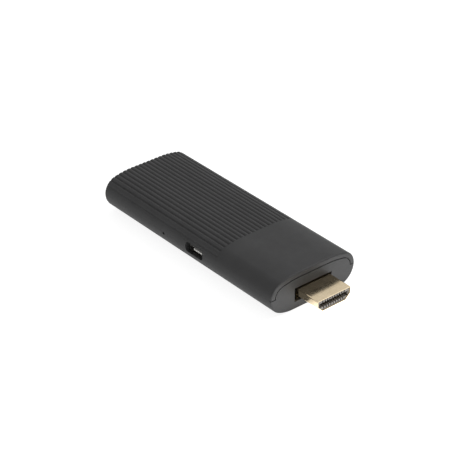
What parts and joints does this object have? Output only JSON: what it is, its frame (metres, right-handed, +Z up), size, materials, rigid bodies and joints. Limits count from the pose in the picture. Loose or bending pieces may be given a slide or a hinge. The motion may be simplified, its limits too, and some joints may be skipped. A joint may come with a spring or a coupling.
{
  "type": "streaming media player stick",
  "caption": "Slim ribbed plastic stick with rounded sides that plugs into a television by the plug on its end, with a power port and a reset pinhole in one long side.",
  "frame": {"origin": "bottom centre of the box round the whole object, on the surface it lies on", "axes": "+X along the stick towards the plug, +Z up through the ribbed cover, -Y towards the long side with the power port and the reset pinhole"},
  "size_m": [0.0952, 0.0354, 0.0132],
  "materials": {
    "housing_plastic": "matte fine texture",
    "gold_plate": "gold plated sheet",
    "black_moulding": "moulded black",
    "grey_moulding": "moulded grey-beige",
    "pale_moulding": "moulded off-white",
    "dull_nickel": "dull plated sheet",
    "tinned_steel": "bright tinned sheet",
    "board_laminate": "green solder mask",
    "chip_mould": "black epoxy",
    "ceramic_tan": "fired ceramic",
    "resistor_body": "glazed",
    "inductor_body": "moulded ferrite",
    "thermal_pad": "soft pad",
    "sheet_aluminium": "plain sheet",
    "screw_steel": "blackened",
    "white_ceramic": "fired ceramic",
    "switch_stem": "moulded"
  },
  "bodies": {
    "stick": {"upper_cover": "housing_plastic", "lower_cover": "housing_plastic", "hdmi_plug_shell": "gold_plate", "hdmi_insulator": "grey_moulding", "hdmi_upper_contacts": "gold_plate", "hdmi_lower_contacts": "gold_plate", "hdmi_bracket": "gold_plate", "usb_receptacle_shell": "dull_nickel", "usb_tongue": "pale_moulding", "usb_contacts": "gold_plate", "reset_switch_body": "black_moulding", "reset_switch_dome": "tinned_steel", "reset_switch_cover": "tinned_steel", "main_board": "board_laminate", "media_processor": "chip_mould", "memory_chips": "chip_mould", "flash_chip": "chip_mould", "power_manager": "chip_mould", "voltage_regulators": "chip_mould", "power_inductors": "inductor_body", "ceramic_capacitors": "ceramic_tan", "chip_resistors": "resistor_body", "clock_crystal": "tinned_steel", "wireless_module": "board_laminate", "wireless_shield": "tinned_steel", "shield_frame": "tinned_steel", "shield_lid": "tinned_steel", "upper_thermal_pad": "thermal_pad", "heat_sink": "sheet_aluminium", "lower_shield": "tinned_steel", "lower_thermal_pad": "thermal_pad", "heat_spreader": "sheet_aluminium", "wireless_antenna": "tinned_steel", "bluetooth_antenna": "white_ceramic", "board_screws": "screw_steel"},
    "reset_plunger": {"reset_switch_plunger": "switch_stem"}
  },
  "joints": [
    {"name": "reset_press", "type": "slide", "parent": "stick", "child": "reset_plunger", "axis": [0, 1, 0], "range_m": [0, 0.00025], "stiffness_N_per_m": 2000, "deforming": ["reset_switch_dome"]}
  ]
}
